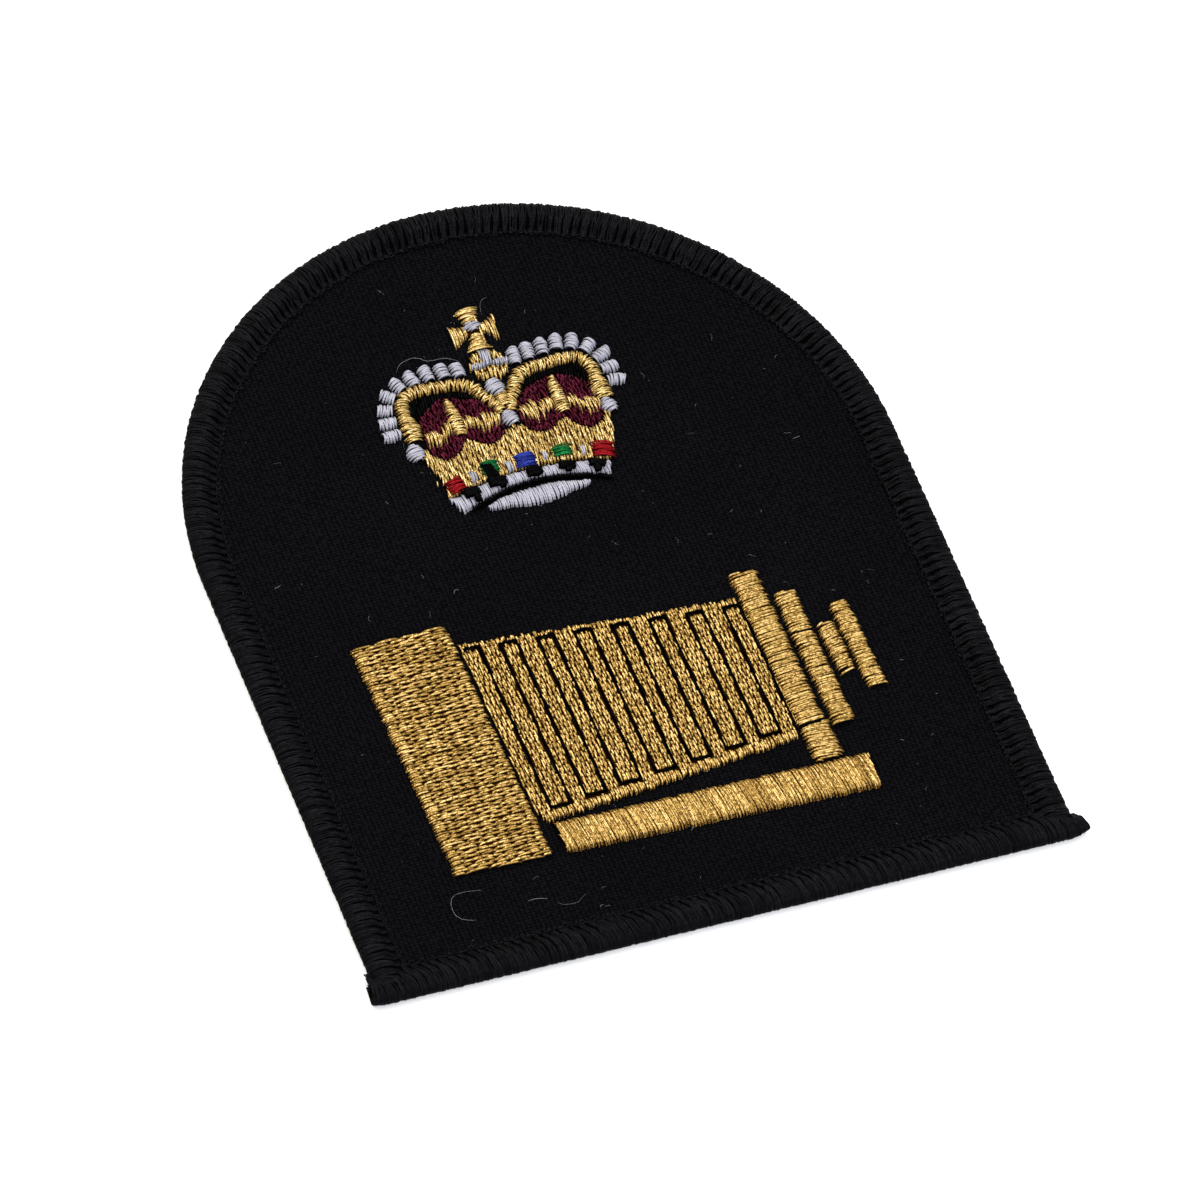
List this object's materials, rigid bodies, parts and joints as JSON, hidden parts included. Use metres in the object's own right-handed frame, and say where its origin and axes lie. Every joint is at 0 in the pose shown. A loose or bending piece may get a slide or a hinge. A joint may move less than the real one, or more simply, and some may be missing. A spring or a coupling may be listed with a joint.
{
  "type": "embroidered rank badge",
  "caption": "Arch-topped black cloth badge with an overlocked border, an embroidered crown and a gold embroidered bellows camera.",
  "frame": {"origin": "middle of the underside of the badge's bounding box, on the surface that it lies on", "axes": "+X to the right across the badge, +Y up the badge towards the top of the arch, +Z out of the embroidered face"},
  "size_m": [0.0818, 0.0954, 0.0021],
  "materials": {
    "ground_cloth": "matt plain-weave cloth, near black with a slight navy tone",
    "border_thread": "black overlocked thread with a soft sheen",
    "gold_thread": "old-gold embroidery thread with a bright sheen",
    "white_thread": "white rayon thread with a soft sheen",
    "crimson_thread": "dark crimson rayon thread",
    "red_thread": "red rayon thread",
    "green_thread": "green rayon thread",
    "blue_thread": "blue rayon thread",
    "black_thread": "black rayon thread"
  },
  "bodies": {
    "root": {"ground_cloth": "ground_cloth", "arch_border": "border_thread", "bottom_border": "border_thread", "camera_body": "gold_thread", "camera_bellows": "gold_thread", "bellows_line": "black_thread", "front_standard": "gold_thread", "standard_stem": "gold_thread", "lens_panel": "gold_thread", "lens_panel_top": "gold_thread", "lens_barrel": "gold_thread", "lens_hood": "gold_thread", "base_rail": "gold_thread", "crown_cross": "gold_thread", "cross_jewel": "white_thread", "crown_orb": "gold_thread", "orb_band": "white_thread", "arch_left": "gold_thread", "arch_right": "gold_thread", "shade_left": "black_thread", "shade_right": "black_thread", "cap_left": "crimson_thread", "cap_right": "crimson_thread", "ornament_left": "gold_thread", "ornament_right": "gold_thread", "circlet": "gold_thread", "circlet_bars": "white_thread", "red_jewel_left": "red_thread", "green_jewel_left": "green_thread", "blue_jewel": "blue_thread", "green_jewel_right": "green_thread", "red_jewel_right": "red_thread", "ermine_band": "white_thread", "ermine_tails": "black_thread", "band_line": "black_thread", "ermine_underside": "white_thread", "stud_upper": "white_thread", "stud_middle": "white_thread", "stud_left": "white_thread", "stud_right": "white_thread", "pearl_left_1": "white_thread", "pearl_left_2": "white_thread", "pearl_left_3": "white_thread", "pearl_left_4": "white_thread", "pearl_left_5": "white_thread", "pearl_left_6": "white_thread", "pearl_left_7": "white_thread", "pearl_left_8": "white_thread", "pearl_left_9": "white_thread", "pearl_right_1": "white_thread", "pearl_right_2": "white_thread", "pearl_right_3": "white_thread", "pearl_right_4": "white_thread", "pearl_right_5": "white_thread", "pearl_right_6": "white_thread", "pearl_right_7": "white_thread", "pearl_right_8": "white_thread", "pearl_right_9": "white_thread"}
  },
  "joints": []
}
